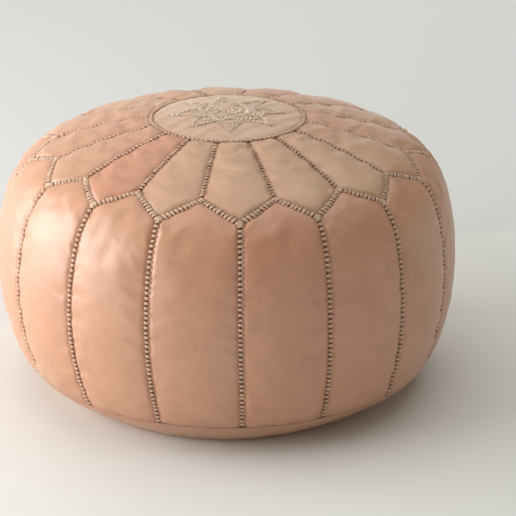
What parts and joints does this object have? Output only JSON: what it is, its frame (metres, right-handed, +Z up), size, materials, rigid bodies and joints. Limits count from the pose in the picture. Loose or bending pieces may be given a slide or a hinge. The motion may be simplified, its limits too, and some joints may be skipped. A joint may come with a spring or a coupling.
{
  "type": "leather pouf",
  "caption": "Round stuffed leather floor pouf, with panels sewn round an embroidered medallion, a scalloped top seam and a zip in its base.",
  "frame": {"origin": "centre of the pouf's footprint, on the surface that it stands on", "axes": "+Z up, through the medallion; +X along the zip in the base, towards the end where the zip is closed; -Y is the front"},
  "size_m": [0.5384, 0.5384, 0.326],
  "materials": {
    "leather": "satin",
    "thread": "matte",
    "cotton_cloth": "matte",
    "cotton_waste": "matte",
    "zip_tape": "matte",
    "zip_metal": "satin"
  },
  "bodies": {
    "cover": {"side_panel_01": "leather", "side_panel_02": "leather", "side_panel_03": "leather", "side_panel_04": "leather", "side_panel_05": "leather", "side_panel_06": "leather", "side_panel_07": "leather", "side_panel_08": "leather", "side_panel_09": "leather", "side_panel_10": "leather", "side_panel_11": "leather", "side_panel_12": "leather", "side_panel_13": "leather", "side_panel_14": "leather", "side_panel_15": "leather", "side_panel_16": "leather", "top_panel_01": "leather", "top_panel_02": "leather", "top_panel_03": "leather", "top_panel_04": "leather", "top_panel_05": "leather", "top_panel_06": "leather", "top_panel_07": "leather", "top_panel_08": "leather", "top_panel_09": "leather", "top_panel_10": "leather", "top_panel_11": "leather", "top_panel_12": "leather", "top_panel_13": "leather", "top_panel_14": "leather", "top_panel_15": "leather", "top_panel_16": "leather", "medallion_panel": "leather", "base_panel_front": "leather", "base_panel_back": "leather", "side_seam_stitching": "thread", "top_seam_stitching": "thread", "chevron_seam_stitching": "thread", "medallion_ring_stitching": "thread", "medallion_embroidery": "thread", "base_seam_thread": "thread", "inner_bag": "cotton_cloth", "stuffing": "cotton_waste", "zipper_tape_front": "zip_tape", "zipper_tape_back": "zip_tape", "zipper_teeth_front": "zip_metal", "zipper_teeth_back": "zip_metal", "zipper_top_stops": "zip_metal", "zipper_bottom_stop": "zip_metal"},
    "slider": {"zipper_slider": "zip_metal"},
    "pull_tab": {"zipper_pull_tab": "zip_metal"}
  },
  "joints": [
    {"name": "zip_slide", "type": "slide", "parent": "cover", "child": "slider", "axis": [-1, 0, 0], "range_m": [0, 0.277]},
    {"name": "pull_tab_hinge", "type": "hinge", "parent": "slider", "child": "pull_tab", "pos_m": [0.1385, 0, 0.00525], "axis": [0, -1, 0], "range_deg": [0, 155]}
  ]
}
